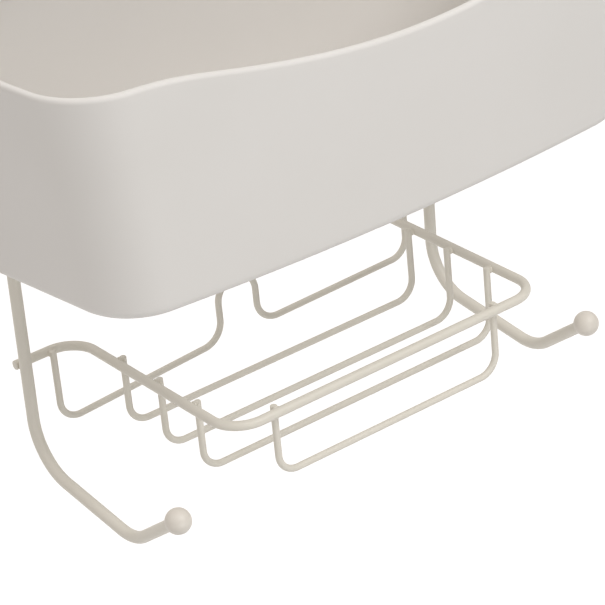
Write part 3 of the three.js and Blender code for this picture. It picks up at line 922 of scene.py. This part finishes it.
class CADDY_OT_bin(bpy.types.Operator):
    """Mould the bin with its rounded rim, its hooks and its drain holes"""

    bl_idname = "caddy.bin"
    bl_label = "Bin"

    def execute(self, context):
        sizes = context.scene.caddy_bin
        lo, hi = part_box("bin")
        body = self.add_hooks(context, self.shell(sizes, lo.z, hi.z))
        piece = through_tree("bin_shell", body, drain_tree(), {
            "Columns": sizes.drain_columns, "Rows": sizes.drain_rows,
            "Pitch": (sizes.drain_pitch_x, sizes.drain_pitch_y, 0),
            "Centre": (0, bin_back() - sizes.bottom_depth / 2, lo.z + sizes.floor / 2),
            "Diameter": sizes.drain, "Flare": sizes.drain_flare, "Floor": sizes.floor,
            "Sides": DRAIN_SIDES, "Material": moulded_polypropylene()})
        piece.data.set_sharp_from_angle(angle=radians(35))
        finish_piece(piece, "bin", "bin", "bin")
        return {"FINISHED"}

    def shell(self, sizes, bottom_z, rim_z):
        """The bin's open shell, wall by wall from the middle of the bottom to the floor inside."""
        height = rim_z - bottom_z
        floor_z = bottom_z + sizes.floor
        lip = sizes.lip / 2
        middle = bin_back() - sizes.rim_depth / 2

        def rim_at(point):
            """Height of the rim: level at the back and sides, one wide hollow along the front."""
            if point.y > middle:
                return rim_z
            share = min(abs(point.x - sizes.dip_centre) / sizes.dip_half_width, 2)
            hollow = sizes.dip * cos(pi / 2 * share)
            eased = max(hollow + sizes.dip_ease, 0) ** 2 / (4 * sizes.dip_ease)
            return rim_z - (hollow if hollow > sizes.dip_ease else eased)

        def ring(inset, level):
            bottom = bin_outline(
                sizes, sizes.bottom_half_width, sizes.bottom_depth, sizes.bottom_corner, inset)
            rim = bin_outline(sizes, sizes.rim_half_width, sizes.rim_depth, sizes.rim_corner, inset)
            made = []
            for low, high in zip(bottom, rim):
                z = level(high)
                made.append((*low.lerp(high, (z - bottom_z) / height), z))
            return made

        def wall(inset, foot, drop, shares):
            return [ring(inset, lambda p, s=s: foot + (rim_at(p) - drop - foot) * s) for s in shares]

        rings = []
        edge_steps, lip_steps = 8, 14
        for k in range(edge_steps + 1):
            turn = pi / 2 * k / edge_steps
            level = bottom_z + sizes.bottom_edge * (1 - cos(turn))
            rings.append(ring(sizes.bottom_edge * (1 - sin(turn)), lambda p, z=level: z))
        shares = (0.015, 0.1, 0.3, 0.5, 0.7, 0.9, 0.985)
        rings += wall(0, bottom_z + sizes.bottom_edge, lip, shares)
        for k in range(lip_steps + 1):
            turn = pi * k / lip_steps
            rings.append(ring(
                lip * (1 - cos(turn)), lambda p, t=turn: rim_at(p) - lip * (1 - sin(t))))
        # Inside, the lip thins to the wall in one soft S
        thin_steps = 8
        for k in range(1, thin_steps + 1):
            share = k / thin_steps
            drop = lip + (sizes.lip_drop - lip) * share
            inset = sizes.lip + (sizes.wall - sizes.lip) * (1 - cos(pi * share)) / 2
            rings.append(ring(inset, lambda p, d=drop: rim_at(p) - d))
        rings += wall(sizes.wall, floor_z + sizes.floor_edge, sizes.lip_drop, shares[::-1])
        for k in range(edge_steps + 1):
            turn = pi / 2 * k / edge_steps
            level = floor_z + sizes.floor_edge * (1 - sin(turn))
            rings.append(ring(
                sizes.wall + sizes.floor_edge * (1 - cos(turn)), lambda p, z=level: z))
        return loft("bin_walls", rings)

    def add_hooks(self, context, shell):
        """Joins the two hooks that go over the bar to the bin's back."""
        sizes, wire = context.scene.caddy_bin, context.scene.caddy_wire
        bar_lo, bar_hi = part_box("bin_bar")
        bar_z = (bar_lo.z + bar_hi.z) / 2
        root = bin_back() - sizes.wall / 2
        lip_y = wire.bar / 2 + sizes.hook_clearance
        seat = bar_z + wire.bar / 2 + WELD_GAP
        thick = sizes.hook_thickness
        profile = [(root, seat), (lip_y, seat), (lip_y, bar_z - sizes.hook_lip)]
        profile += [(lip_y + thick, bar_z - sizes.hook_lip), (lip_y + thick, seat + thick)]
        profile.append((root, seat + thick))
        bm = bmesh.new()
        for side in (-1, 1):
            left = side * sizes.hook_offset - sizes.hook_width / 2
            face = bm.faces.new([bm.verts.new((left, y, z)) for y, z in profile])
            made = bmesh.ops.extrude_face_region(bm, geom=[face])["geom"]
            moved = [part for part in made if isinstance(part, bmesh.types.BMVert)]
            bmesh.ops.translate(bm, vec=(sizes.hook_width, 0, 0), verts=moved)
        bmesh.ops.recalc_face_normals(bm, faces=bm.faces)
        bmesh.ops.bevel(
            bm, geom=bm.edges[:], offset=sizes.hook_edge, segments=4, profile=0.5, affect="EDGES")
        hooks_mesh = bpy.data.meshes.new("bin_hooks")
        bm.to_mesh(hooks_mesh)
        bm.free()
        hooks_mesh.shade_smooth()
        hooks = add_object("bin_hooks", hooks_mesh)
        walls = add_object("bin_walls", shell)
        join = walls.modifiers.new("hooks", "BOOLEAN")
        join.operation = "UNION"
        join.solver = "EXACT"
        join.object = hooks
        joined = plain_mesh(walls)
        bpy.data.objects.remove(walls)
        bpy.data.objects.remove(hooks)
        return joined


class CADDY_OT_stage(bpy.types.Operator):
    """Set the floor, the soft lights and the camera"""

    bl_idname = "caddy.stage"
    bl_label = "Stage"

    def execute(self, context):
        scene = context.scene
        stage = scene.caddy_stage
        self.add_floor(scene, CAD_BOX[0].z - stage.floor_drop)
        self.add_lights(scene)
        self.add_camera(scene, stage)
        scene.view_settings.view_transform = "Standard"
        return {"FINISHED"}

    def add_floor(self, scene, level):
        """A wide plain floor, far enough below that no shadow comes near, and a plain wall round it."""
        half, height = 15, 8
        plan = [(x * half, y * half) for x, y in ((-1, -1), (1, -1), (1, 1), (-1, 1))]
        low = [(x, y, level) for x, y in plan]
        high = [(x, y, level + height) for x, y in plan]
        floor = self.add_backdrop(scene, "floor", low, [(0, 1, 2, 3)], scene.caddy_stage.floor_glow)
        sides = [(k, k + 4, (k + 1) % 4 + 4, (k + 1) % 4) for k in range(4)]
        wall = self.add_backdrop(scene, "backdrop_wall", low + high, sides, scene.caddy_stage.wall_glow)
        # Neither lights nor shades the caddy: that is left to the tent, the key and the fill
        for piece in (floor, wall):
            piece.visible_diffuse = False
            piece.visible_shadow = False
        wall.visible_glossy = False

    def add_backdrop(self, scene, name, points, faces, glow):
        """A piece of the backdrop in white card that is lit a little from behind."""
        mesh = bpy.data.meshes.new(name)
        mesh.from_pydata(points, [], faces)
        material = bpy.data.materials.new("studio_" + name)
        material.use_nodes = True
        shader = material.node_tree.nodes["Principled BSDF"]
        shader.inputs["Base Color"].default_value = (*scene.caddy_finish.floor, 1)
        shader.inputs["Roughness"].default_value = 0.9
        shader.inputs["Emission Color"].default_value = (*scene.caddy_finish.floor, 1)
        shader.inputs["Emission Strength"].default_value = glow
        mesh.materials.append(material)
        piece = add_object(name, mesh)
        return piece

    def add_lights(self, scene):
        """A white tent with its own level on each side, a soft key from high in front and a low fill."""
        stage = scene.caddy_stage
        world = bpy.data.worlds.new("white_tent")
        world.use_nodes = True
        tree = world.node_tree
        way = add_node(tree, "ShaderNodeTexCoord").outputs["Generated"]
        total = (0, 0, 0)
        sides = (
            ((1, 0, 0), stage.tent_right), ((-1, 0, 0), stage.tent_left), ((0, 1, 0), stage.tent_back),
            ((0, -1, 0), stage.tent_front), ((0, 0, 1), stage.tent_top), ((0, 0, -1), stage.tent_bottom))
        # The sides blend into each other by the square of how far a ray points at each
        for axis, level in sides:
            facing = add_node(tree, "ShaderNodeVectorMath", {0: way, 1: axis}, operation="DOT_PRODUCT")
            ahead = add_node(
                tree, "ShaderNodeMath", {0: facing.outputs["Value"], 1: 0.0}, operation="MAXIMUM")
            share = add_node(tree, "ShaderNodeMath", {0: ahead.outputs["Value"], 1: 2.0}, operation="POWER")
            added = add_node(
                tree, "ShaderNodeVectorMath", {0: share.outputs["Value"], 1: tuple(level), 2: total},
                operation="MULTIPLY_ADD")
            total = added.outputs["Vector"]
        tree.links.new(total, tree.nodes["Background"].inputs["Color"])
        scene.world = world
        self.add_softbox(
            scene, "key_softbox", stage.key_azimuth, stage.key_elevation, stage.key_distance,
            stage.key_size, stage.key_power)
        self.add_softbox(
            scene, "fill_softbox", stage.fill_azimuth, stage.fill_elevation, stage.fill_distance,
            stage.fill_size, stage.fill_power)

    def add_softbox(self, scene, name, azimuth, elevation, distance, size, power):
        """A square soft light that faces the caddy's middle."""
        light = bpy.data.lights.new(name, "AREA")
        light.shape = "SQUARE"
        light.size = size
        light.energy = power
        holder = bpy.data.objects.new(name, light)
        scene.collection.objects.link(holder)
        holder.visible_camera = False
        turn = Matrix.Rotation(azimuth, 4, "Z") @ Matrix.Rotation(pi / 2 - elevation, 4, "X")
        middle = (CAD_BOX[0] + CAD_BOX[1]) / 2
        holder.matrix_world = Matrix.Translation(middle + turn @ Vector((0, 0, distance))) @ turn

    def add_camera(self, scene, stage):
        """The camera, at the viewing angle of the photograph."""
        lens = bpy.data.cameras.new("camera")
        lens.lens = stage.lens
        lens.sensor_width = 36
        camera = bpy.data.objects.new("camera", lens)
        scene.collection.objects.link(camera)
        turn = Matrix.Rotation(stage.azimuth, 4, "Z") @ Matrix.Rotation(pi / 2 - stage.elevation, 4, "X")
        turn = turn @ Matrix.Rotation(stage.roll, 4, "Z")
        away = turn @ Vector((0, 0, stage.distance))
        camera.matrix_world = Matrix.Translation(Vector(stage.aim) + away) @ turn
        scene.camera = camera


class CADDY_PT_panel(bpy.types.Panel):
    """Lists the caddy's pieces and their sizes"""

    bl_idname = "CADDY_PT_panel"
    bl_label = "Shower Caddy"
    bl_space_type = "VIEW_3D"
    bl_region_type = "UI"
    bl_category = "Caddy"

    def draw(self, context):
        layout = self.layout
        for operator in OPERATORS:
            layout.operator(operator.bl_idname)
        for name in GROUPS:
            group = getattr(context.scene, name)
            box = layout.box()
            for key in group.bl_rna.properties.keys():
                if key not in ("rna_type", "name"):
                    box.prop(group, key)


GROUPS = {
    "caddy_wire": CaddyWireSizes,
    "caddy_trim": CaddyTrimSizes,
    "caddy_bin": CaddyBinSizes,
    "caddy_finish": CaddyFinish,
    "caddy_stage": CaddyStage,
}

OPERATORS = (
    CADDY_OT_stage,
    CADDY_OT_uprights,
    CADDY_OT_hook_balls,
    CADDY_OT_hanger_loop,
    CADDY_OT_hanger_sleeve,
    CADDY_OT_bin_bar,
    CADDY_OT_basket_rim,
    CADDY_OT_soap_wires,
    CADDY_OT_back_wire,
    CADDY_OT_welds,
    CADDY_OT_bin,
)


def register():
    for name, group in GROUPS.items():
        bpy.utils.register_class(group)
        setattr(bpy.types.Scene, name, PointerProperty(type=group))
    for operator in OPERATORS:
        bpy.utils.register_class(operator)
    bpy.utils.register_class(CADDY_PT_panel)


def unregister():
    bpy.utils.unregister_class(CADDY_PT_panel)
    for operator in reversed(OPERATORS):
        bpy.utils.unregister_class(operator)
    for name, group in GROUPS.items():
        delattr(bpy.types.Scene, name)
        bpy.utils.unregister_class(group)


def main():
    register()
    for operator in OPERATORS:
        group, name = operator.bl_idname.split(".")
        getattr(getattr(bpy.ops, group), name)()


if __name__ == "__main__":
    main()
